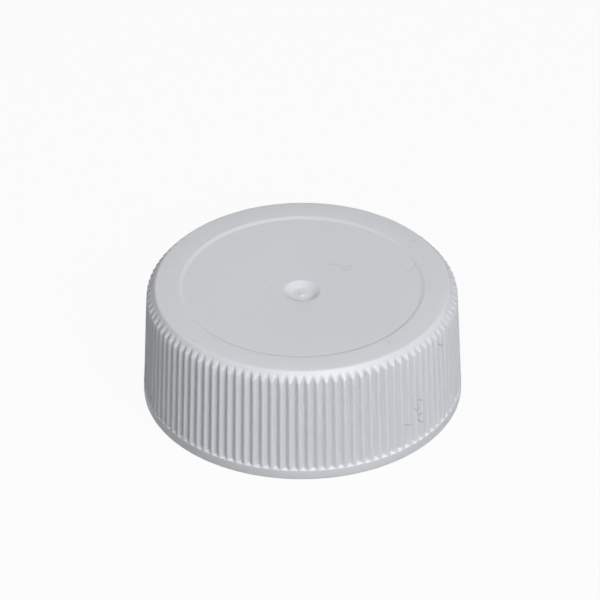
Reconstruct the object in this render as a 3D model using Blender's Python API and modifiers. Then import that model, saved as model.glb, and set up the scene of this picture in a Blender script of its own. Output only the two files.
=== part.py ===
"""A ribbed screw cap, moulded in one piece of white plastic, for a wide-mouthed bottle.

Lengths are in metres. +Z is the cap's axis: the open rim stands at z = 0 and the closed
top is up. The front of the cap faces -Y.
"""

import math

import bmesh
import bpy

MM = 0.001

# Outside of the skirt
HEIGHT = 16.2 * MM
RIM_RADIUS = 20.62 * MM
SKIRT_LEAN = 0.4 * MM
RIM_BAND_HEIGHT = 1.56 * MM
RIM_FILLET = 0.4 * MM
FILLET_FACETS = 3

# Flutes, the rounded grooves that leave the gripping ridges between them
FLUTE_COUNT = 106
FLUTE_DEPTH = 0.6 * MM
RIDGE_WIDTH = 0.12 * MM
FLUTE_STATIONS = (-1.0, -0.6, -0.3, 0.0, 0.3, 0.6, 1.0)
FLUTE_RUNOUT_SLOPE = math.radians(12.0)
FIRST_RIDGE_ANGLE = math.radians(0.37)

# Shoulder between the top and the skirt
SHOULDER_WIDTH = 1.36 * MM
SHOULDER_ROUND = 0.45 * MM
SHOULDER_SLOPE = math.radians(47.0)
SHOULDER_FACETS = 2

# Top: a flat land around a shallow recess, whose panel dips towards the middle
LAND_WIDTH = 2.9 * MM
RECESS_DEPTH = 0.21 * MM
RECESS_WALL_RUN = 0.47 * MM
PANEL_DIP = 0.5 * MM
PANEL_RINGS = 5
PANEL_THICKNESS = 1.4 * MM

# Gate mark in the middle of the top: a nub on the floor of a dimple
NUB_RADIUS = 0.3 * MM
NUB_SIDE_RUN = 0.12 * MM
NUB_HEIGHT = 0.3 * MM
DIMPLE_FLOOR_WIDTH = 0.84 * MM
DIMPLE_WALL_RUN = 1.13 * MM
DIMPLE_DEPTH = 0.6 * MM

# Inside
WALL_THICKNESS = 0.75 * MM
CORE_DRAFT = 0.1 * MM
CORE_CORNER = 0.4 * MM
RIM_CHAMFER = 0.5 * MM
SEAL_INSET = 2.28 * MM
SEAL_HEIGHT = 0.45 * MM
SEAL_TIP_WIDTH = 0.3 * MM
SEAL_SIDE_RUN = 0.3 * MM

# Thread
THREAD_PITCH = 4.233 * MM
THREAD_HEIGHT = 1.15 * MM
THREAD_CREST_WIDTH = 0.9 * MM
THREAD_FLANK_RUN = 0.65 * MM
THREAD_START = 1.2 * MM
THREAD_RELIEF = 2.2 * MM
THREAD_FADE_ANGLE = math.radians(40.0)
THREAD_END_SINK = 0.15 * MM
CORE_SIDES = 54

# How far a cutter reaches past the surface that it cuts
OVERCUT = 0.5 * MM
MERGE_DISTANCE = 0.001 * MM

PLASTIC_COLOUR = (0.78, 0.80, 0.81, 1.0)
PLASTIC_ROUGHNESS = 0.38

# Heights and radii that follow from the sizes above
SKIRT_TOP_RADIUS = RIM_RADIUS - SKIRT_LEAN
LAND_RADIUS = SKIRT_TOP_RADIUS - SHOULDER_WIDTH
RECESS_RADIUS = LAND_RADIUS - LAND_WIDTH
PANEL_RADIUS = RECESS_RADIUS - RECESS_WALL_RUN
PANEL_TOP = HEIGHT - RECESS_DEPTH
NUB_FOOT_RADIUS = NUB_RADIUS + NUB_SIDE_RUN
DIMPLE_FLOOR_RADIUS = NUB_FOOT_RADIUS + DIMPLE_FLOOR_WIDTH
DIMPLE_RADIUS = DIMPLE_FLOOR_RADIUS + DIMPLE_WALL_RUN
CEILING = PANEL_TOP - PANEL_THICKNESS
CORE_TOP_RADIUS = SKIRT_TOP_RADIUS - FLUTE_DEPTH - WALL_THICKNESS
CORE_MOUTH_RADIUS = CORE_TOP_RADIUS + CORE_DRAFT
SEAL_RADIUS = CORE_TOP_RADIUS - SEAL_INSET
SEAL_TIP_HALF = SEAL_TIP_WIDTH / 2
SEAL_FOOT_HALF = SEAL_TIP_HALF + SEAL_SIDE_RUN
THREAD_ROOT_HALF = THREAD_CREST_WIDTH / 2 + THREAD_FLANK_RUN
THREAD_ROOTING = WALL_THICKNESS / 2


def clear_scene():
    """Remove every object, so that the script starts from an empty scene."""
    for old in list(bpy.data.objects):
        bpy.data.objects.remove(old, do_unlink=True)


def make_collection(name):
    """A new collection in the scene."""
    collection = bpy.data.collections.new(name)
    bpy.context.scene.collection.children.link(collection)
    return collection


def white_plastic():
    """The cap's plastic: slightly cool white with a soft gloss."""
    material = bpy.data.materials.new("white_plastic")
    material.use_nodes = True
    shader = material.node_tree.nodes["Principled BSDF"]
    shader.inputs["Base Color"].default_value = PLASTIC_COLOUR
    shader.inputs["Roughness"].default_value = PLASTIC_ROUGHNESS
    shader.inputs["Metallic"].default_value = 0.0
    return material


def panel_dip(share):
    """How far the panel hangs below its edge, at a share of its radius: level at both ends."""
    return PANEL_DIP * (1.0 - 1.5 * share ** 2 + 0.5 * share ** 6)


def panel_points(edge_radius, edge_height, inner_radius):
    """Profile points of a face of the dipping panel, from an inner radius out to its edge."""
    points = []
    for ring in range(PANEL_RINGS + 1):
        radius = inner_radius + (edge_radius - inner_radius) * ring / PANEL_RINGS
        points.append((radius, edge_height - panel_dip(radius / edge_radius)))
    return points


def arc_points(centre_radius, centre_height, size, start, end, facets):
    """Profile points on an arc, its angles measured up from straight outwards."""
    points = []
    for step in range(facets + 1):
        angle = start + (end - start) * step / facets
        radius = centre_radius + size * math.cos(angle)
        height = centre_height + size * math.sin(angle)
        points.append((radius, height))
    return points


def shoulder_points():
    """The rounded edge of the land and the slope that falls to the ridges."""
    upright = math.pi / 2
    points = arc_points(LAND_RADIUS, HEIGHT - SHOULDER_ROUND, SHOULDER_ROUND,
                        upright, upright - SHOULDER_SLOPE, SHOULDER_FACETS)
    round_radius, round_height = points[-1]
    fall = (SKIRT_TOP_RADIUS - round_radius) * math.tan(SHOULDER_SLOPE)
    points.append((SKIRT_TOP_RADIUS, round_height - fall))
    return points


def skirt_slope():
    """How far the ridges' crests lean out for each metre down, shoulder to rim band."""
    shoulder_foot = shoulder_points()[-1][1]
    return SKIRT_LEAN / (shoulder_foot - RIM_BAND_HEIGHT)


def crest_radius(height):
    """Radius of the ridges' crests at a height."""
    return RIM_RADIUS - skirt_slope() * (height - RIM_BAND_HEIGHT)


def outside_profile():
    """The outside from the gate mark over the top and down to the rim, as (radius, z)."""
    dimple_floor = PANEL_TOP - panel_dip(DIMPLE_RADIUS / PANEL_RADIUS) - DIMPLE_DEPTH
    points = [
        (0.0, dimple_floor + NUB_HEIGHT),
        (NUB_RADIUS, dimple_floor + NUB_HEIGHT),
        (NUB_FOOT_RADIUS, dimple_floor),
        (DIMPLE_FLOOR_RADIUS, dimple_floor),
    ]
    points += panel_points(PANEL_RADIUS, PANEL_TOP, DIMPLE_RADIUS)
    points.append((RECESS_RADIUS, HEIGHT))
    points += shoulder_points()
    points.append((RIM_RADIUS, RIM_BAND_HEIGHT))
    points += arc_points(RIM_RADIUS - RIM_FILLET, RIM_FILLET, RIM_FILLET,
                         0.0, -math.pi / 2, FILLET_FACETS)
    points.append((0.0, 0.0))
    return points


def core_profile():
    """The core that forms the inside, from the ceiling down through the mouth."""
    points = panel_points(SEAL_RADIUS - SEAL_FOOT_HALF, CEILING, 0.0)
    points += [
        (SEAL_RADIUS - SEAL_TIP_HALF, CEILING - SEAL_HEIGHT),
        (SEAL_RADIUS + SEAL_TIP_HALF, CEILING - SEAL_HEIGHT),
        (SEAL_RADIUS + SEAL_FOOT_HALF, CEILING),
        (CORE_TOP_RADIUS - CORE_CORNER, CEILING),
        (CORE_TOP_RADIUS, CEILING - CORE_CORNER),
        (CORE_MOUTH_RADIUS, RIM_CHAMFER),
        (CORE_MOUTH_RADIUS + RIM_CHAMFER + OVERCUT, -OVERCUT),
        (0.0, -OVERCUT),
    ]
    return points


def turn(name, profile, sides, collection):
    """Turn an open profile, given as (radius, z), into a solid around the Z axis."""
    mesh = bpy.data.meshes.new(name)
    corners = [(radius, 0.0, height) for radius, height in profile]
    edges = [(index, index + 1) for index in range(len(corners) - 1)]
    mesh.from_pydata(corners, edges, [])
    solid = bpy.data.objects.new(name, mesh)
    collection.objects.link(solid)
    screw = solid.modifiers.new("turn", "SCREW")
    screw.axis = "Z"
    screw.angle = math.tau
    screw.steps = sides
    screw.render_steps = sides
    screw.use_merge_vertices = True
    screw.merge_threshold = MERGE_DISTANCE
    return solid


def flute_section():
    """A flute's outline across the skirt: (sideways, depth below the ridges' crests)."""
    half_width = (math.tau * SKIRT_TOP_RADIUS / FLUTE_COUNT - RIDGE_WIDTH) / 2
    points = [(-half_width, -OVERCUT)]
    for share in FLUTE_STATIONS:
        depth = FLUTE_DEPTH * (1.0 + math.cos(math.pi * share)) / 2
        points.append((share * half_width, depth))
    points.append((half_width, -OVERCUT))
    return points


def flute_foot(depth):
    """Height at which a flute's line at this depth meets the slope that runs it out."""
    return RIM_BAND_HEIGHT + depth / (1.0 / math.tan(FLUTE_RUNOUT_SLOPE) - skirt_slope())


def flute_cutter(collection):
    """All the flutes in one cutter: each section is drawn above the cap and pulled down."""
    ceiling = HEIGHT + OVERCUT
    flutes = bmesh.new()
    for index in range(FLUTE_COUNT):
        angle = math.tau * (index + 0.5) / FLUTE_COUNT
        outward = (math.cos(angle), math.sin(angle))
        corners = []
        for sideways, depth in flute_section():
            radius = crest_radius(ceiling) - depth
            x = outward[0] * radius - outward[1] * sideways
            y = outward[1] * radius + outward[0] * sideways
            corners.append(flutes.verts.new((x, y, ceiling)))
        section = flutes.faces.new(corners)
        pulled = bmesh.ops.extrude_face_region(flutes, geom=[section])
        for vert in pulled["geom"]:
            if not isinstance(vert, bmesh.types.BMVert):
                continue
            along = vert.co.x * outward[0] + vert.co.y * outward[1]
            depth = crest_radius(ceiling) - along
            foot = flute_foot(depth)
            shift = crest_radius(foot) - crest_radius(ceiling)
            vert.co.x += outward[0] * shift
            vert.co.y += outward[1] * shift
            vert.co.z = foot
    bmesh.ops.recalc_face_normals(flutes, faces=flutes.faces)
    mesh = bpy.data.meshes.new("flute_cutter")
    flutes.to_mesh(mesh)
    flutes.free()
    cutter = bpy.data.objects.new("flute_cutter", mesh)
    collection.objects.link(cutter)
    return cutter


def core_radius(height):
    """Radius of the inner wall at a height."""
    share = (height - RIM_CHAMFER) / (CEILING - CORE_CORNER - RIM_CHAMFER)
    return CORE_MOUTH_RADIUS + (CORE_TOP_RADIUS - CORE_MOUTH_RADIUS) * share


def thread_station(turned, grown):
    """The thread's section after a turned angle, as four corners, at a share of its height."""
    middle = THREAD_START + THREAD_ROOT_HALF + THREAD_PITCH * turned / math.tau
    wall = core_radius(middle)
    height = (THREAD_HEIGHT + THREAD_END_SINK) * grown - THREAD_END_SINK
    crest_half = THREAD_CREST_WIDTH / 2
    flank = THREAD_FLANK_RUN / THREAD_HEIGHT
    root_half = crest_half + flank * (height + THREAD_ROOTING)
    section = [
        (wall + THREAD_ROOTING, middle - root_half),
        (wall - height, middle - crest_half),
        (wall - height, middle + crest_half),
        (wall + THREAD_ROOTING, middle + root_half),
    ]
    corners = []
    for radius, z in section:
        corners.append((radius * math.cos(turned), radius * math.sin(turned), z))
    return corners


def thread_ridge(collection):
    """The thread: a loft along its helix that rises from the wall and sinks back into it."""
    top = CEILING - SEAL_HEIGHT - THREAD_RELIEF
    climb = top - THREAD_START - 2 * THREAD_ROOT_HALF
    stations = max(2, round(climb / THREAD_PITCH * CORE_SIDES))
    fade = THREAD_FADE_ANGLE / math.tau * CORE_SIDES
    ridge = bmesh.new()
    rings = []
    for station in range(stations + 1):
        grown = min(1.0, station / fade, (stations - station) / fade)
        corners = thread_station(math.tau * (station + 0.5) / CORE_SIDES, grown)
        rings.append([ridge.verts.new(corner) for corner in corners])
    for ring, following in zip(rings, rings[1:]):
        for side in range(len(ring)):
            beside = (side + 1) % len(ring)
            ridge.faces.new((ring[side], ring[beside], following[beside], following[side]))
    ridge.faces.new(rings[0])
    ridge.faces.new(rings[-1])
    bmesh.ops.recalc_face_normals(ridge, faces=ridge.faces)
    mesh = bpy.data.meshes.new("thread_ridge")
    ridge.to_mesh(mesh)
    ridge.free()
    solid = bpy.data.objects.new("thread_ridge", mesh)
    collection.objects.link(solid)
    return solid


def shape_with(solid, tool, operation):
    """Cut or join a tool with a live Boolean, and hide the tool as a guide."""
    boolean = solid.modifiers.new(tool.name, "BOOLEAN")
    boolean.operation = operation
    boolean.solver = "EXACT"
    boolean.object = tool
    tool.hide_render = True
    tool.display_type = "WIRE"
    tool.rotation_euler.z = solid.rotation_euler.z


def make_cap(parts, cutters):
    """The cap: a turned blank, fluted outside, hollowed by its core and threaded inside."""
    cap = turn("cap", outside_profile(), FLUTE_COUNT, parts)
    cap.rotation_euler.z = FIRST_RIDGE_ANGLE
    shape_with(cap, flute_cutter(cutters), "DIFFERENCE")
    shape_with(cap, turn("core_cutter", core_profile(), CORE_SIDES, cutters), "DIFFERENCE")
    shape_with(cap, thread_ridge(cutters), "UNION")
    cap.data.materials.append(white_plastic())
    return cap


def main():
    clear_scene()
    parts = make_collection("screw_cap")
    cutters = make_collection("cutters")
    make_cap(parts, cutters)


main()
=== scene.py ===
# %% [markdown]
# # A ribbed screw cap
#
# The object is the white screw cap of a wide-mouthed bottle, moulded in one shot of plastic.
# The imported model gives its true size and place, and this script gives it its looks: the
# fluted skirt, the soft moulded edges, the inside thread, the plastic and the light.
# Everything is in metres, +Z is up, and the front of the cap faces -Y.

# %% Load the frame
import math

import bmesh
import bpy
import numpy as np
from mathutils import Matrix, Quaternion, Vector


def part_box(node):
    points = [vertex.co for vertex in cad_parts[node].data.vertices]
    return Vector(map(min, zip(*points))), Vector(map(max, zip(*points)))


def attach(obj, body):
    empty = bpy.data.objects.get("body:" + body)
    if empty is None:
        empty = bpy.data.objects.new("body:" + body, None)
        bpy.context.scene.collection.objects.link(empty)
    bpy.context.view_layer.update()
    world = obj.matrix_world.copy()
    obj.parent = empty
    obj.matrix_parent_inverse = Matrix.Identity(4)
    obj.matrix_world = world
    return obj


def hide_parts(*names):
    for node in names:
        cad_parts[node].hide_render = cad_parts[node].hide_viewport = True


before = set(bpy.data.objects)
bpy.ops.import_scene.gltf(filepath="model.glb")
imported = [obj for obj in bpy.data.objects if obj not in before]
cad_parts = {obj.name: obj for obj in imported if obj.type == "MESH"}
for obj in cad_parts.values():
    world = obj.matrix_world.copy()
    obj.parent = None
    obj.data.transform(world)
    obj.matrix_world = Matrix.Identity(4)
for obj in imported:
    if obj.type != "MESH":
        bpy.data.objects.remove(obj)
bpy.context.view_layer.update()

MM = 0.001

# %% [markdown]
# ## The sizes of the moulding
#
# A moulding like this is drawn as one profile and turned, so its sizes are radii and
# heights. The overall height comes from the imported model. The others are the drawing's own
# sizes, each named once, so that a change of one moves all that follows.

# %% Name the sizes of the outside
low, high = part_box("cap")
HEIGHT = high[2] - low[2]
RIM_RADIUS = 20.62 * MM
SKIRT_LEAN = 0.4 * MM
RIM_BAND_HEIGHT = 1.56 * MM
RIM_FILLET = 0.4 * MM

SHOULDER_WIDTH = 1.36 * MM
SHOULDER_ROUND = 0.45 * MM
SHOULDER_SLOPE = math.radians(47.0)

LAND_WIDTH = 2.9 * MM
RECESS_DEPTH = 0.21 * MM
RECESS_WALL_RUN = 0.47 * MM
PANEL_DIP = 0.5 * MM

NUB_RADIUS = 0.3 * MM
NUB_HEIGHT = 0.15 * MM
NUB_FOOT_RADIUS = 0.5 * MM
DIMPLE_FLOOR_RADIUS = 1.4 * MM
DIMPLE_RADIUS = 2.39 * MM
DIMPLE_DEPTH = 0.6 * MM

SKIRT_TOP_RADIUS = RIM_RADIUS - SKIRT_LEAN
LAND_RADIUS = SKIRT_TOP_RADIUS - SHOULDER_WIDTH
SHOULDER_EDGE = LAND_RADIUS + SHOULDER_ROUND * math.tan(SHOULDER_SLOPE / 2)
SHOULDER_FOOT = HEIGHT - (SKIRT_TOP_RADIUS - SHOULDER_EDGE) * math.tan(SHOULDER_SLOPE)
RECESS_RADIUS = LAND_RADIUS - LAND_WIDTH
PANEL_RADIUS = RECESS_RADIUS - RECESS_WALL_RUN
PANEL_TOP = HEIGHT - RECESS_DEPTH
print("height and radius in mm:", round(HEIGHT / MM, 2), round(RIM_RADIUS / MM, 2))

# %% Name the roundings of the edges
EDGE_ROUND = 0.1 * MM
NUB_ROUND = 0.25 * MM
NUB_FOOT_ROUND = 0.2 * MM
DIMPLE_FLOOR_ROUND = 0.9 * MM
DIMPLE_RIM_ROUND = 0.12 * MM
RECESS_FOOT_ROUND = 0.15 * MM
SHOULDER_FOOT_ROUND = 0.3 * MM
print("smallest rounding in mm:", round(EDGE_ROUND / MM, 2))

# %% Name the sizes of the flutes and the inside
FLUTE_COUNT = 106
FLUTE_DEPTH = 0.6 * MM
RIDGE_WIDTH = 0.12 * MM
RUNOUT_SLOPE = math.radians(12.0)
FIRST_RIDGE_ANGLE = math.radians(0.37)

PANEL_THICKNESS = 1.4 * MM
WALL_THICKNESS = 0.75 * MM
CORE_DRAFT = 0.1 * MM
CORE_CORNER = 0.4 * MM
RIM_CHAMFER = 0.5 * MM
SEAL_INSET = 2.28 * MM
SEAL_HEIGHT = 0.45 * MM
SEAL_TIP_HALF = 0.15 * MM
SEAL_FOOT_HALF = 0.45 * MM

CEILING = PANEL_TOP - PANEL_THICKNESS
CORE_TOP_RADIUS = SKIRT_TOP_RADIUS - FLUTE_DEPTH - WALL_THICKNESS
CORE_MOUTH_RADIUS = CORE_TOP_RADIUS + CORE_DRAFT
SEAL_RADIUS = CORE_TOP_RADIUS - SEAL_INSET
print("rib pitch in mm:", round(math.tau * SKIRT_TOP_RADIUS / FLUTE_COUNT / MM, 3))

# %% [markdown]
# ## A profile with soft corners
#
# No moulded edge is truly sharp, and it is the small radius along an edge that catches the
# light. So the profile is first written as plain corners, each with the size of its
# rounding, and one helper turns every corner into an arc. Bevelling the finished mesh would
# do the same, but on a profile it is exact and costs nothing.


# %% Soften the corners of a profile
def soften(corners, facets=4):
    """Turn (radius, height, rounding) corners into points, with an arc at each rounding."""
    points = []
    for index, (radius, height, rounding) in enumerate(corners):
        corner = Vector((radius, height))
        if rounding == 0.0:
            points.append((radius, height))
            continue
        before = (Vector(corners[index - 1][:2]) - corner).normalized()
        after = (Vector(corners[index + 1][:2]) - corner).normalized()
        half = before.angle(after) / 2
        centre = corner + (before + after).normalized() * (rounding / math.sin(half))
        first = corner + before * (rounding / math.tan(half)) - centre
        last = corner + after * (rounding / math.tan(half)) - centre
        sweep = first.angle_signed(last)
        for step in range(facets + 1):
            spoke = first.copy()
            spoke.rotate(Matrix.Rotation(-sweep * step / facets, 2))
            points.append(tuple(centre + spoke))
    return points


def cut_stretches(points, longest):
    """Cut the straight stretches of a profile into rows no longer than a rule allows."""
    cut = [points[0]]
    for start, end in zip(points, points[1:]):
        start, end = Vector(start), Vector(end)
        middle = (start + end) / 2
        rows = math.ceil((end - start).length / longest(middle.x, middle.y))
        cut += [tuple(start.lerp(end, row / rows)) for row in range(1, rows + 1)]
    return cut


# %% [markdown]
# ## The profile of the cap
#
# The profile starts at the middle of the top, on the nub that the gate left, and runs over
# the outside, round the rim and up the inside to the middle of the ceiling. The top panel
# dips a little towards its middle, as thin panels do when they cool, and it leaves both its
# edge and its middle level.


# %% Draw the top
def panel_dip(share):
    """How far the panel hangs below its edge, at a share of its radius; level at both ends."""
    return PANEL_DIP * (1.0 - 1.5 * share ** 2 + 0.5 * share ** 6)


def panel_corners(edge_radius, edge_height, start, end, rings=10):
    """Corners of one face of the dipping panel, between two radii."""
    corners = []
    for ring in range(1, rings):
        radius = start + (end - start) * ring / rings
        corners.append((radius, edge_height - panel_dip(radius / edge_radius), 0.0))
    return corners


def top_corners():
    """From the nub over the dimple, the panel and the land to the shoulder's edge."""
    rim_height = PANEL_TOP - panel_dip(DIMPLE_RADIUS / PANEL_RADIUS)
    floor = rim_height - DIMPLE_DEPTH
    corners = [
        (0.0, floor + NUB_HEIGHT, 0.0),
        (NUB_RADIUS, floor + NUB_HEIGHT, NUB_ROUND),
        (NUB_FOOT_RADIUS, floor, NUB_FOOT_ROUND),
        (DIMPLE_FLOOR_RADIUS, floor, DIMPLE_FLOOR_ROUND),
        (DIMPLE_RADIUS, rim_height, DIMPLE_RIM_ROUND),
    ]
    corners += panel_corners(PANEL_RADIUS, PANEL_TOP, DIMPLE_RADIUS, PANEL_RADIUS)
    corners += [
        (PANEL_RADIUS, PANEL_TOP, RECESS_FOOT_ROUND),
        (RECESS_RADIUS, HEIGHT, EDGE_ROUND),
        (SHOULDER_EDGE, HEIGHT, SHOULDER_ROUND),
    ]
    return corners


print("corners of the top:", len(top_corners()))

# %% Draw the side
FLUTED_TOP = HEIGHT - 0.35 * MM
FLUTED_FOOT = RIM_BAND_HEIGHT - 0.1 * MM
RUNOUT_TOP = RIM_BAND_HEIGHT + FLUTE_DEPTH * math.tan(RUNOUT_SLOPE) + 0.15 * MM


def crest_radius(height):
    """Radius of the ridges' crests at a height."""
    lean = SKIRT_LEAN / (SHOULDER_FOOT - RIM_BAND_HEIGHT)
    return RIM_RADIUS - lean * (height - RIM_BAND_HEIGHT)


def side_corners():
    """From the shoulder's foot down the ridges' crests to the rim, and into the mouth."""
    return [
        (SKIRT_TOP_RADIUS, SHOULDER_FOOT, SHOULDER_FOOT_ROUND),
        (crest_radius(RUNOUT_TOP), RUNOUT_TOP, 0.0),
        (RIM_RADIUS, RIM_BAND_HEIGHT, 0.0),
        (RIM_RADIUS, FLUTED_FOOT, 0.0),
        (RIM_RADIUS, 0.0, RIM_FILLET),
        (CORE_MOUTH_RADIUS + RIM_CHAMFER, 0.0, EDGE_ROUND),
        (CORE_MOUTH_RADIUS, RIM_CHAMFER, EDGE_ROUND),
    ]


print("corners of the side:", len(side_corners()))


# %% Draw the inside
def inside_corners():
    """Up the inner wall and over the ceiling with its sealing bead to the middle."""
    foot_radius = SEAL_RADIUS - SEAL_FOOT_HALF
    corners = [
        (CORE_TOP_RADIUS, CEILING, CORE_CORNER),
        (SEAL_RADIUS + SEAL_FOOT_HALF, CEILING, EDGE_ROUND),
        (SEAL_RADIUS + SEAL_TIP_HALF, CEILING - SEAL_HEIGHT, EDGE_ROUND),
        (SEAL_RADIUS - SEAL_TIP_HALF, CEILING - SEAL_HEIGHT, EDGE_ROUND),
        (foot_radius, CEILING, EDGE_ROUND),
    ]
    corners += panel_corners(foot_radius, CEILING, foot_radius, 0.0)
    corners.append((0.0, CEILING - PANEL_DIP, 0.0))
    return corners


print("corners of the inside:", len(inside_corners()))

# %% [markdown]
# ## Rows for the flutes
#
# The flutes will be shaped by moving points of the skirt, so the skirt's profile needs points
# of its own. Where a flute runs out or opens into an arch the rows are fine, and everywhere
# else they are as long as the plain turned form allows.

# %% Cut the profile into rows
TOP_ROW = 1.6 * MM
PLAIN_ROW = 1.4 * MM
RUNOUT_ROW = 0.035 * MM
ARCH_ROW = 0.07 * MM
ARCH_FOOT = SHOULDER_FOOT - 0.2 * MM


def longest_row(radius, height):
    """The longest row that the shaping of each zone allows."""
    if radius < LAND_RADIUS:
        return TOP_ROW
    if radius < CORE_MOUTH_RADIUS + RIM_CHAMFER:
        return PLAIN_ROW
    if FLUTED_FOOT < height < RUNOUT_TOP:
        return RUNOUT_ROW
    if ARCH_FOOT < height < HEIGHT:
        return ARCH_ROW
    return PLAIN_ROW


profile = cut_stretches(soften(top_corners() + side_corners() + inside_corners()), longest_row)
print("profile points:", len(profile))

# %% [markdown]
# ## Turning the profile
#
# Spin turns the profile around +Z. A full turn starts and ends in the same place, so the
# spin merges its last column with its first, and the many copies of the two points on the
# axis are merged too. Two columns for each rib are enough everywhere but on the fluted
# skirt, which gets its finer columns later.

# %% Spin the blank
COLUMNS_PER_RIB = 2
MERGE_DISTANCE = 0.0005 * MM


def spin_shell(points, columns):
    """A closed shell turned from a profile that starts and ends on the axis."""
    shell = bmesh.new()
    corners = [shell.verts.new((radius, 0.0, height)) for radius, height in points]
    edges = [shell.edges.new(pair) for pair in zip(corners, corners[1:])]
    bmesh.ops.spin(shell, geom=corners + edges, cent=(0, 0, 0), axis=(0, 0, 1),
                   dvec=(0, 0, 0), angle=math.tau, steps=columns, use_merge=True,
                   use_duplicate=False)
    bmesh.ops.remove_doubles(shell, verts=shell.verts, dist=MERGE_DISTANCE)
    bmesh.ops.recalc_face_normals(shell, faces=shell.faces)
    return shell


blank = spin_shell(profile, FLUTE_COUNT * COLUMNS_PER_RIB)
open_edges = sum(1 for edge in blank.edges if not edge.is_manifold)
print("blank:", len(blank.verts), "points,", open_edges, "open edges")
print("volume in cubic mm:", round(blank.calc_volume() / MM ** 3, 1))

# %% [markdown]
# ## The inside thread
#
# The thread is a rounded ridge that climbs 4.2 mm for each turn, twice round the inside. It
# could be a curve with a bevel object, but spin does it in one call: its dvec lifts the
# section a little at each step, so that the turned section climbs as a helix. Then the
# points near the two ends are moved outwards into the wall, as a real thread fades out.

# %% Name the sizes of the thread
THREAD_PITCH = 4.233 * MM
THREAD_HEIGHT = 1.15 * MM
THREAD_CREST_HALF = 0.45 * MM
THREAD_FLANK_RUN = 0.65 * MM
THREAD_ROUND = 0.2 * MM
THREAD_START = 1.2 * MM
THREAD_RELIEF = 2.2 * MM
THREAD_ROOTING = WALL_THICKNESS / 2
THREAD_FIRST_ANGLE = math.radians(3.75)
THREAD_STEPS = 108
THREAD_FADE = math.radians(45.0)
THREAD_END_SINK = 0.15 * MM

root_half = THREAD_CREST_HALF + THREAD_FLANK_RUN
thread_low = THREAD_START + root_half
thread_high = CEILING - SEAL_HEIGHT - THREAD_RELIEF - root_half
thread_steps = round((thread_high - thread_low) / THREAD_PITCH * THREAD_STEPS)
thread_sweep = math.tau * thread_steps / THREAD_STEPS
print("thread turns:", round(thread_sweep / math.tau, 2))


# %% Spin the thread along its helix
def thread_section():
    """The thread's section as (radius, height) points, its roots inside the wall."""
    flank = THREAD_FLANK_RUN / THREAD_HEIGHT
    buried_half = root_half + flank * THREAD_ROOTING
    root = CORE_MOUTH_RADIUS + THREAD_ROOTING
    crest = CORE_MOUTH_RADIUS - THREAD_HEIGHT
    return soften([
        (root, thread_low - buried_half, 0.0),
        (crest, thread_low - THREAD_CREST_HALF, THREAD_ROUND),
        (crest, thread_low + THREAD_CREST_HALF, THREAD_ROUND),
        (root, thread_low + buried_half, 0.0),
    ])


def fade_ends(thread):
    """Sink the first and last stretch of the thread into the wall, and lean it with it."""
    for vert in thread.verts:
        angle = math.atan2(vert.co.y, vert.co.x) % math.tau
        turns = (vert.co.z - thread_low) / THREAD_PITCH
        turned = angle + math.tau * round(turns - angle / math.tau)
        ending = min(turned, thread_sweep - turned) / THREAD_FADE
        sink = (THREAD_HEIGHT + THREAD_END_SINK) * (1.0 - min(ending, 1.0))
        lean = CORE_DRAFT * (vert.co.z - RIM_CHAMFER) / (CEILING - RIM_CHAMFER)
        radius = math.hypot(vert.co.x, vert.co.y)
        moved = min(radius + sink, CORE_MOUTH_RADIUS + THREAD_ROOTING) - lean
        vert.co.x *= moved / radius
        vert.co.y *= moved / radius


thread = bmesh.new()
corners = [thread.verts.new((radius, 0.0, height)) for radius, height in thread_section()]
edges = [thread.edges.new(pair) for pair in zip(corners, corners[1:] + corners[:1])]
rise = thread_sweep / math.tau * THREAD_PITCH / thread_steps
bmesh.ops.spin(thread, geom=corners + edges, cent=(0, 0, 0), axis=(0, 0, 1),
               dvec=(0, 0, rise), angle=thread_sweep, steps=thread_steps,
               use_merge=False, use_duplicate=False)
bmesh.ops.holes_fill(thread, edges=thread.edges, sides=0)
fade_ends(thread)
bmesh.ops.rotate(thread, verts=thread.verts, cent=(0, 0, 0),
                 matrix=Matrix.Rotation(THREAD_FIRST_ANGLE, 3, "Z"))
bmesh.ops.recalc_face_normals(thread, faces=thread.faces)
open_edges = sum(1 for edge in thread.edges if not edge.is_manifold)
print("thread points:", len(thread.verts), "open edges:", open_edges)
print("thread volume in cubic mm:", round(thread.calc_volume() / MM ** 3, 1))

# %% [markdown]
# ## One closed shell
#
# The blank and the thread are joined by an exact Boolean, so that the cap is one closed
# shell without hidden faces, as the real moulding is one piece. It is done before the flutes
# are made, because a Boolean works best on a light and simple shape.


# %% Join the thread to the wall
def as_object(name, shape):
    """A scene object made from a bmesh."""
    mesh = bpy.data.meshes.new(name)
    shape.to_mesh(mesh)
    shape.free()
    piece = bpy.data.objects.new(name, mesh)
    bpy.context.scene.collection.objects.link(piece)
    return piece


def joined(name, carrier, added):
    """A new object: the exact union of two objects, which are then removed."""
    union = carrier.modifiers.new("union", "BOOLEAN")
    union.operation = "UNION"
    union.solver = "EXACT"
    union.object = added
    evaluated = carrier.evaluated_get(bpy.context.evaluated_depsgraph_get())
    mesh = bpy.data.meshes.new_from_object(evaluated)
    mesh.name = name
    piece = bpy.data.objects.new(name, mesh)
    bpy.context.scene.collection.objects.link(piece)
    bpy.data.objects.remove(carrier)
    bpy.data.objects.remove(added)
    return piece


moulding = joined("cap_moulding", as_object("blank", blank), as_object("thread", thread))
shape = bmesh.new()
shape.from_mesh(moulding.data)
open_edges = sum(1 for edge in shape.edges if not edge.is_manifold)
print("joined:", len(shape.verts), "points,", open_edges, "open edges")

# %% [markdown]
# ## Finer columns on the skirt
#
# The flutes need about a dozen columns for each rib. Subdividing only the ring edges of the
# skirt gives them, and leaves the top, the rim and the inside light.

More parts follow.
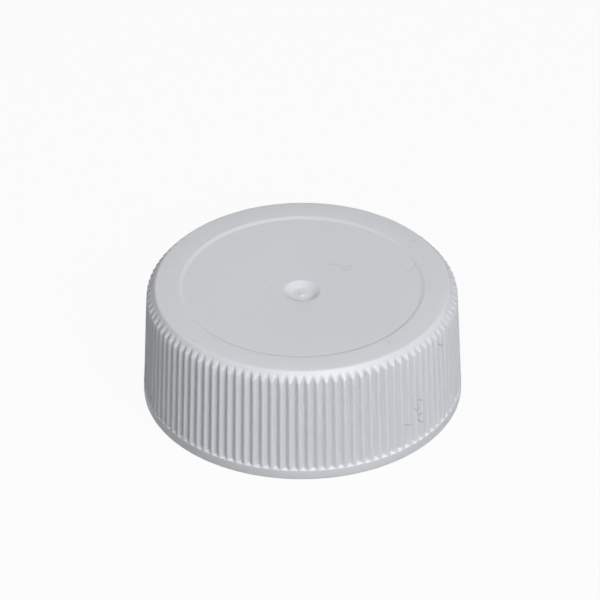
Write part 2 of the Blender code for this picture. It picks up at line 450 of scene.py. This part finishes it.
# %% Subdivide the skirt
COLUMN_CUTS = 5
OUTSIDE_RADIUS = CORE_MOUTH_RADIUS + 0.1 * MM
LEVEL_TOLERANCE = 0.0001 * MM


def on_skirt(vert):
    """Whether a point lies on the outer surface between the shoulder and the rim band."""
    radius = math.hypot(vert.co.x, vert.co.y)
    return radius > OUTSIDE_RADIUS and FLUTED_FOOT < vert.co.z < FLUTED_TOP


rings = []
for edge in shape.edges:
    start, end = edge.verts
    level = abs(start.co.z - end.co.z) < LEVEL_TOLERANCE
    if level and on_skirt(start) and on_skirt(end):
        rings.append(edge)
bmesh.ops.subdivide_edges(shape, edges=rings, cuts=COLUMN_CUTS, use_grid_fill=True)
print("ring edges cut:", len(rings), "points now:", len(shape.verts))

# %% [markdown]
# ## Carving the flutes
#
# A flute is a hollow that runs down the skirt, follows the lean of the skirt and runs out
# on a gentle slope above the rim band. At the top it opens into the sloping shoulder, and
# where the two meet it leaves the small arches of the photograph. Cutting 106 grooves with
# Booleans would give hard edges, so each point of the skirt is moved instead to the softly
# blended minimum of the two surfaces. The blend is narrow along the ridges and wide round
# the arches, whose edges are the softest of the moulding. The columns are crowded a little
# towards the ridges, where the section bends most.


# %% Move the skirt's points into the flutes
RIDGE_BLEND = 0.1 * MM
ARCH_BLEND = 0.45 * MM
ARCH_BLEND_RUN = 0.4 * MM
RUNOUT_BLEND = 0.12 * MM
COLUMN_CROWDING = 0.35

outline = [(height, radius) for radius, height in profile if radius > OUTSIDE_RADIUS]
outline = sorted(point for point in outline if FLUTED_FOOT <= point[0] <= FLUTED_TOP)
outline_heights = [height for height, radius in outline]
outline_radii = [radius for height, radius in outline]


def blank_radius(height):
    """Radius of the blank's outside at a height, read off its profile."""
    return float(np.interp(height, outline_heights, outline_radii))


def soft_min(first, second, blend):
    """The smaller of two values, with a round transition where they meet."""
    near = max(blend - abs(first - second), 0.0) / blend
    return min(first, second) - near * near * blend / 4


def edge_blend(height):
    """How softly a flute meets the outside: narrow along a ridge, wide round an arch."""
    share = (height - SHOULDER_FOOT) / ARCH_BLEND_RUN + 0.5
    return RIDGE_BLEND + (ARCH_BLEND - RIDGE_BLEND) * min(max(share, 0.0), 1.0)


def flute_radius(height, from_middle):
    """Radius of the flute's floor, at a sideways distance from the flute's middle."""
    pitch = math.tau * crest_radius(height) / FLUTE_COUNT
    half_width = (pitch - RIDGE_WIDTH) / 2
    share = min(abs(from_middle) * pitch / half_width, 1.0)
    depth = FLUTE_DEPTH * (1.0 + math.cos(math.pi * share)) / 2
    floor = crest_radius(height) - depth
    runout = RIM_RADIUS - (height - RIM_BAND_HEIGHT) / math.tan(RUNOUT_SLOPE)
    return -soft_min(-floor, -runout, RUNOUT_BLEND)


rib_angle = math.tau / FLUTE_COUNT
moved = 0
for vert in shape.verts:
    if not on_skirt(vert):
        continue
    ribs = math.atan2(vert.co.y, vert.co.x) / rib_angle
    from_ridge = ribs - round(ribs)
    crowded = from_ridge - COLUMN_CROWDING * math.sin(math.tau * from_ridge) / math.tau
    angle = (round(ribs) + crowded) * rib_angle
    carved = flute_radius(vert.co.z, 0.5 - abs(crowded))
    radius = soft_min(blank_radius(vert.co.z), carved, edge_blend(vert.co.z))
    vert.co.x = radius * math.cos(angle)
    vert.co.y = radius * math.sin(angle)
    moved += 1
print("points moved:", moved)

# %% [markdown]
# ## The finished moulding
#
# The shape goes back into its object, turned so that its ridges stand where the photograph
# shows them. Faces are shaded smooth, and only edges over 50 degrees stay sharp.

# %% Finish the mesh
SHARP_ANGLE = math.radians(50.0)

shape.transform(Matrix.Rotation(FIRST_RIDGE_ANGLE, 4, "Z"))
open_edges = sum(1 for edge in shape.edges if not edge.is_manifold)
triangles = sum(len(face.verts) - 2 for face in shape.faces)
print("moulding:", triangles, "triangles,", open_edges, "open edges")
print("volume in cubic mm:", round(shape.calc_volume() / MM ** 3, 1))
shape.to_mesh(moulding.data)
shape.free()
moulding.data.shade_smooth()
moulding.data.set_sharp_from_angle(angle=SHARP_ANGLE)

# %% [markdown]
# ## The plastic
#
# The cap is plain polypropylene: a cool white with a satin gloss. Light goes a little way
# into such plastic and comes out beside, which softens the shade in the narrow flutes. A
# Principled shader gives all of this, and a few helpers keep its node tree short to write.
# All its textures use Object coordinates, which stay on the part when the camera moves.

# %% Start the plastic
GLOSS_ROUGHNESS = 0.34
GLOSS_SPREAD = 0.08
GLOSS_LEVEL = 0.35
SCATTER_REACH = 0.3 * MM
PALE_TONE = (0.722, 0.742, 0.768, 1.0)
DEEP_TONE = (0.698, 0.718, 0.742, 1.0)

plastic = bpy.data.materials.new("white_plastic")
plastic.use_nodes = True
nodes = plastic.node_tree.nodes
links = plastic.node_tree.links
shader = nodes["Principled BSDF"]
shader.inputs["Specular IOR Level"].default_value = GLOSS_LEVEL
shader.inputs["Subsurface Weight"].default_value = 1.0
shader.inputs["Subsurface Radius"].default_value = (1.0, 1.0, 1.0)
shader.inputs["Subsurface Scale"].default_value = SCATTER_REACH
place = nodes.new("ShaderNodeTexCoord").outputs["Object"]


def feed(socket, value):
    """Set a socket to a plain value, or link it to another node's socket."""
    if isinstance(value, bpy.types.NodeSocket):
        socket.node.id_data.links.new(value, socket)
    else:
        socket.default_value = value


def calculate(tree, operation, first, second=0.0, clamp=False):
    """One step of arithmetic in a node tree."""
    step = tree.nodes.new("ShaderNodeMath")
    step.operation = operation
    step.use_clamp = clamp
    feed(step.inputs[0], first)
    feed(step.inputs[1], second)
    return step.outputs[0]


def noise(cell_size, detail):
    """Noise on the plastic, from 0 to 1, with cells of about this size."""
    texture = nodes.new("ShaderNodeTexNoise")
    texture.inputs["Scale"].default_value = 1.0 / cell_size
    texture.inputs["Detail"].default_value = detail
    links.new(place, texture.inputs["Vector"])
    return texture.outputs["Fac"]


# %% [markdown]
# ## A mark along a line
#
# The top and the skirt carry a few fine scratches and pits. Painting them on an image would
# need an unwrapped mesh, so each is a short straight line instead, and the shader works out
# how far every point lies from it. A node group holds that sum once: the point is dropped
# onto the line, kept between the line's two ends, and its distance fades the mark out.


# %% Make the group for one mark
def build_line_mark():
    """A node group: how strongly a straight mark covers a place, from 0 to 1."""
    group = bpy.data.node_groups.new("line_mark", "ShaderNodeTree")
    for name in ("Place", "Start", "End"):
        group.interface.new_socket(name, in_out="INPUT", socket_type="NodeSocketVector")
    group.interface.new_socket("Half Width", in_out="INPUT", socket_type="NodeSocketFloat")
    group.interface.new_socket("Mark", in_out="OUTPUT", socket_type="NodeSocketFloat")
    entry = group.nodes.new("NodeGroupInput")
    leave = group.nodes.new("NodeGroupOutput")

    def vector(operation, first, second):
        """One step of vector arithmetic in the group."""
        step = group.nodes.new("ShaderNodeVectorMath")
        step.operation = operation
        feed(step.inputs[0], first)
        feed(step.inputs["Scale"] if operation == "SCALE" else step.inputs[1], second)
        scalar = operation in ("DOT_PRODUCT", "LENGTH", "DISTANCE")
        return step.outputs["Value"] if scalar else step.outputs["Vector"]

    from_start = vector("SUBTRACT", entry.outputs["Place"], entry.outputs["Start"])
    line = vector("SUBTRACT", entry.outputs["End"], entry.outputs["Start"])
    along = vector("DOT_PRODUCT", from_start, line)
    whole = vector("DOT_PRODUCT", line, line)
    share = calculate(group, "DIVIDE", along, whole, clamp=True)
    nearest = vector("SCALE", line, share)
    gap = vector("DISTANCE", from_start, nearest)
    reach = calculate(group, "DIVIDE", gap, entry.outputs["Half Width"], clamp=True)
    fade = calculate(group, "MULTIPLY", reach, reach)
    feed(leave.inputs["Mark"], calculate(group, "SUBTRACT", 1.0, fade))
    return group


line_mark = build_line_mark()
print("nodes in the group of a mark:", len(line_mark.nodes))

# %% [markdown]
# ## Two flat maps of the part
#
# The marks are placed on two flat maps: the top as seen from above, in x and y, and the
# skirt as if it were unrolled, with the way round from the front and the height. Both maps
# are worked out from the Object coordinates, and both are shaken a little by noise, so that
# no scratch is ruled straight. A gate keeps each map's marks off the rest of the part.


# %% Lay the maps
SHAKE_CELL = 0.8 * MM
SHAKE_REACH = 0.2 * MM
TOP_DEPTH = 1.0 * MM


def flat_map(across, up):
    """A flat place from two lengths, shaken by fine noise."""
    combined = nodes.new("ShaderNodeCombineXYZ")
    shake = calculate(plastic.node_tree, "MULTIPLY", noise(SHAKE_CELL, 1.0), SHAKE_REACH)
    feed(combined.inputs["X"], calculate(plastic.node_tree, "ADD", across, shake))
    feed(combined.inputs["Y"], calculate(plastic.node_tree, "SUBTRACT", up, shake))
    return combined.outputs["Vector"]


split = nodes.new("ShaderNodeSeparateXYZ")
links.new(place, split.inputs["Vector"])
x, y, z = (split.outputs[axis] for axis in "XYZ")
back = calculate(plastic.node_tree, "MULTIPLY", y, -1.0)
turned = calculate(plastic.node_tree, "ARCTAN2", x, back)
way_round = calculate(plastic.node_tree, "MULTIPLY", turned, RIM_RADIUS)
x_squared = calculate(plastic.node_tree, "MULTIPLY", x, x)
y_squared = calculate(plastic.node_tree, "MULTIPLY", y, y)
squares = calculate(plastic.node_tree, "ADD", x_squared, y_squared)
from_axis = calculate(plastic.node_tree, "SQRT", squares)

top_map = flat_map(x, y)
skirt_map = flat_map(way_round, z)
top_gate = calculate(plastic.node_tree, "GREATER_THAN", z, HEIGHT - TOP_DEPTH)
skirt_gate = calculate(plastic.node_tree, "GREATER_THAN", from_axis, OUTSIDE_RADIUS)
print("nodes in the plastic so far:", len(nodes))

# %% [markdown]
# ## The marks of use
#
# Each mark is a path of points in millimetres on one of the maps, given to a tenth: the
# wavy scratch beside the middle, the scratch that ends at the recess's wall, small nicks on
# the land, and a few pits and curved scratches on the right of the skirt. The marks hold a
# little grey dirt, more of it on the skirt, where a hand leaves it.

# %% Place the marks
MARK_HALF_WIDTH = 0.1 * MM
TOP_DIRT = 0.3
SKIRT_DIRT = 0.6
TOP_MARKS = (
    ((3.7, 5.6), (4.2, 5.8), (4.7, 5.7), (5.0, 5.3), (5.4, 4.9), (5.6, 4.3)),
    ((5.5, 4.8), (5.9, 5.0), (6.3, 5.1), (6.7, 4.8)),
    ((5.8, 4.2), (6.3, 4.4)),
    ((13.5, 3.6), (14.2, 3.6), (15.0, 5.2)),
    ((13.9, 10.0), (14.9, 10.0)),
    ((14.0, 8.7), (14.5, 8.7)),
    ((-0.2, 9.6), (-0.1, 9.5)),
    ((-4.8, 2.1), (-4.8, 1.7)),
    ((-12.4, 4.2), (-12.3, 4.2)),
    ((11.4, -12.5), (11.4, -13.4)),
    ((-14.2, -12.0), (-13.7, -12.6)),
)
SKIRT_MARKS = (
    ((22.4, 13.5), (22.8, 12.9), (23.2, 12.6), (23.5, 12.5), (23.6, 12.8)),
    ((20.4, 14.9), (20.5, 14.8)),
    ((10.9, 4.9), (11.0, 4.8)),
    ((16.5, 6.6), (17.0, 6.0)),
    ((17.8, 5.3), (17.4, 4.9), (17.4, 4.4), (17.6, 4.0), (18.0, 3.8)),
    ((17.2, 6.5), (17.5, 6.1), (17.4, 5.9)),
    ((16.8, 7.1), (17.3, 7.4), (17.8, 7.4)),
    ((14.9, 4.6), (15.5, 4.7)),
    ((15.7, 4.2), (15.8, 4.1)),
    ((15.7, 3.8), (15.7, 3.7)),
)


def draw_marks(paths, flat_place, gate, dirt):
    """The dirt in the marks of one map, kept to its own part of the surface."""
    strongest = 0.0
    for path in paths:
        for start, end in zip(path, path[1:]):
            mark = nodes.new("ShaderNodeGroup")
            mark.node_tree = line_mark
            feed(mark.inputs["Place"], flat_place)
            feed(mark.inputs["Start"], (start[0] * MM, start[1] * MM, 0.0))
            feed(mark.inputs["End"], (end[0] * MM, end[1] * MM, 0.0))
            feed(mark.inputs["Half Width"], MARK_HALF_WIDTH)
            strongest = calculate(plastic.node_tree, "MAXIMUM", mark.outputs["Mark"], strongest)
    gated = calculate(plastic.node_tree, "MULTIPLY", strongest, gate)
    return calculate(plastic.node_tree, "MULTIPLY", gated, dirt)


top_marks = draw_marks(TOP_MARKS, top_map, top_gate, TOP_DIRT)
skirt_marks = draw_marks(SKIRT_MARKS, skirt_map, skirt_gate, SKIRT_DIRT)
dirty_marks = calculate(plastic.node_tree, "MAXIMUM", top_marks, skirt_marks)
print("marks:", len(TOP_MARKS), "on the top,", len(SKIRT_MARKS), "on the skirt")

# %% [markdown]
# ## Tone, gloss and relief
#
# Slow noise moves the tone by about a hundredth either way, as unevenly mixed plastic does,
# and the gloss varies with finer noise. Two bumps in a row give the relief: the slow
# waviness of a thin moulded wall, and the fine grain of the mould. The marks are so shallow
# that they show by the dirt they hold, so they are only a tone. A bump would work out all
# of them three times over, once for each point that it compares.

# %% Finish the plastic
DIRT_TONE = (0.3, 0.32, 0.34, 1.0)
TONE_CELL = 9.0 * MM
GLOSS_CELL = 1.5 * MM
WAVE_CELL = 3.0 * MM
WAVE_DEPTH = 0.015 * MM
GRAIN_CELL = 0.12 * MM
GRAIN_DEPTH = 0.002 * MM

# A Mix node has sockets of the same name for every type, so its colours go by number.
MIX_FIRST = 6
MIX_SECOND = 7
MIX_RESULT = 2


def mix_tones(share, first, second):
    """A tone between two, by a share from 0 to 1."""
    mix = nodes.new("ShaderNodeMix")
    mix.data_type = "RGBA"
    feed(mix.inputs["Factor"], share)
    feed(mix.inputs[MIX_FIRST], first)
    feed(mix.inputs[MIX_SECOND], second)
    return mix.outputs[MIX_RESULT]


def bump(height, depth, before=None):
    """A bump of this depth, added to the relief that comes before it."""
    relief = nodes.new("ShaderNodeBump")
    relief.inputs["Strength"].default_value = 1.0
    relief.inputs["Distance"].default_value = depth
    links.new(height, relief.inputs["Height"])
    if before is not None:
        links.new(before, relief.inputs["Normal"])
    return relief.outputs["Normal"]


clean_tone = mix_tones(noise(TONE_CELL, 2.0), DEEP_TONE, PALE_TONE)
feed(shader.inputs["Base Color"], mix_tones(dirty_marks, clean_tone, DIRT_TONE))

uneven = calculate(plastic.node_tree, "SUBTRACT", noise(GLOSS_CELL, 3.0), 0.5)
uneven = calculate(plastic.node_tree, "MULTIPLY", uneven, GLOSS_SPREAD)
feed(shader.inputs["Roughness"], calculate(plastic.node_tree, "ADD", uneven, GLOSS_ROUGHNESS))

wavy = bump(noise(WAVE_CELL, 1.0), WAVE_DEPTH)
feed(shader.inputs["Normal"], bump(noise(GRAIN_CELL, 2.0), GRAIN_DEPTH, wavy))

moulding.data.materials.clear()
moulding.data.materials.append(plastic)
print("nodes in the plastic:", len(nodes))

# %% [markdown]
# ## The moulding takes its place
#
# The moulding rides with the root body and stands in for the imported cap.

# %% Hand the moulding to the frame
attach(moulding, "root")
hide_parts("cap")

# %% [markdown]
# ## White paper
#
# The cap stands on white paper that fills the picture. Paper that is only lit would clip or
# turn grey, so most of what the camera sees of it is a plain glow of strength 1, which is
# white. The rest is a matt sheet of a middle tone: it keeps the cap's soft shadow, and it
# bounces a little light onto the skirt, where a paler sheet would make the sides too bright.
# The world beyond it is the same white to the camera and in reflections, and gives no light
# of its own.

# %% Lay the paper and the world
PAPER_HALF_SIZE = 1.0
PAPER_DROP = 0.1 * MM
PAPER_TONE = (0.5, 0.5, 0.5, 1.0)
GLOW_SHARE = 0.95
WHITE = (1.0, 1.0, 1.0, 1.0)


def seen_directly(tree):
    """1 for what the camera sees, also in a reflection or through glass, and 0 for light."""
    rays = tree.nodes.new("ShaderNodeLightPath")
    mirrored = calculate(tree, "MAXIMUM", rays.outputs["Is Glossy Ray"],
                         rays.outputs["Is Transmission Ray"])
    return calculate(tree, "MAXIMUM", rays.outputs["Is Camera Ray"], mirrored)


paper = bpy.data.materials.new("white_paper")
paper.use_nodes = True
sheet_nodes = paper.node_tree.nodes
sheet_nodes.clear()
lit_paper = sheet_nodes.new("ShaderNodeBsdfDiffuse")
lit_paper.inputs["Color"].default_value = PAPER_TONE
glow = sheet_nodes.new("ShaderNodeEmission")
glow.inputs["Strength"].default_value = 1.0
blend = sheet_nodes.new("ShaderNodeMixShader")
surface = sheet_nodes.new("ShaderNodeOutputMaterial")
glow_share = calculate(paper.node_tree, "MULTIPLY", seen_directly(paper.node_tree), GLOW_SHARE)
feed(blend.inputs["Fac"], glow_share)
feed(blend.inputs[1], lit_paper.outputs["BSDF"])
feed(blend.inputs[2], glow.outputs["Emission"])
feed(surface.inputs["Surface"], blend.outputs["Shader"])

sheet_shape = bmesh.new()
bmesh.ops.create_grid(sheet_shape, x_segments=1, y_segments=1, size=PAPER_HALF_SIZE)
bmesh.ops.translate(sheet_shape, verts=sheet_shape.verts, vec=(0.0, 0.0, -PAPER_DROP))
sheet = as_object("paper", sheet_shape)
sheet.data.materials.append(paper)

world = bpy.data.worlds.new("white_surround")
world.use_nodes = True
surround = world.node_tree.nodes["Background"]
surround.inputs["Color"].default_value = WHITE
feed(surround.inputs["Strength"], seen_directly(world.node_tree))
bpy.context.scene.world = world
print("paper in metres:", round(2 * PAPER_HALF_SIZE, 2))

# %% [markdown]
# ## The lamps
#
# The photograph was lit softly from above and a little from the right: the top is even, the
# sloping shoulder and the slopes at the flutes' feet are brightest, and the skirt is lit
# best right of the front and falls off to the left. Two round softboxes give that. A wide
# one high over the front lights the top and the slopes, and a smaller one lower down on the
# right models the skirt and its flutes. None stands behind the cap: it would brighten the
# near walls of the recess and the dimple, which are dark lines in the photograph. Both lamps
# are 60 cm away and are aimed at the cap, and their power is in watts.


# %% Set up the lamps
LAMP_DISTANCE = 0.6


def softbox(name, azimuth, elevation, size, power):
    """A round area lamp, placed by its way round from the front and its elevation."""
    around = math.radians(azimuth)
    up = math.radians(elevation)
    towards = Vector((math.sin(around) * math.cos(up), -math.cos(around) * math.cos(up),
                      math.sin(up)))
    light = bpy.data.lights.new(name, "AREA")
    light.shape = "DISK"
    light.size = size
    light.energy = power
    lamp = bpy.data.objects.new(name, light)
    lamp.location = towards * LAMP_DISTANCE
    lamp.rotation_euler = towards.to_track_quat("Z", "Y").to_euler()
    bpy.context.scene.collection.objects.link(lamp)
    print("lamp:", name, power, "W")


softbox("high", azimuth=17.0, elevation=60.0, size=0.6, power=2.8)
softbox("key", azimuth=23.0, elevation=38.0, size=0.3, power=1.3)

# %% [markdown]
# ## The camera
#
# The photograph shows the top as an ellipse whose height is 0.574 of its width, so the
# camera looks down at 35 degrees, and its edges hardly converge, so it stands far off with
# a long lens. The lens follows from the distance and from the scale at the cap's centre,
# both of which were read off the photograph, and the small roll levels its horizon.

# %% Aim the camera
VIEW_ELEVATION = math.radians(35.0)
VIEW_ROLL = math.radians(-0.36)
VIEW_DISTANCE = 3.0
VIEW_CENTRE = Vector((-0.27 * MM, 0.0, 14.05 * MM))
FARTHEST_VIEW = 10.0
IMAGE_PIXELS = 600
PIXELS_PER_METRE = 7710.0
SENSOR_WIDTH = 36.0

camera = bpy.data.objects.new("camera", bpy.data.cameras.new("camera"))
bpy.context.scene.collection.objects.link(camera)
bpy.context.scene.camera = camera
camera.data.sensor_width = SENSOR_WIDTH
camera.data.lens = SENSOR_WIDTH * VIEW_DISTANCE * PIXELS_PER_METRE / IMAGE_PIXELS
camera.data.clip_end = FARTHEST_VIEW
towards_camera = Vector((0.0, -math.cos(VIEW_ELEVATION), math.sin(VIEW_ELEVATION)))
camera.location = VIEW_CENTRE + towards_camera * VIEW_DISTANCE
turn = towards_camera.to_track_quat("Z", "Y") @ Quaternion((0.0, 0.0, 1.0), VIEW_ROLL)
camera.rotation_euler = turn.to_euler()
bpy.context.scene.view_settings.view_transform = "Standard"
print("lens in mm:", round(camera.data.lens, 1))
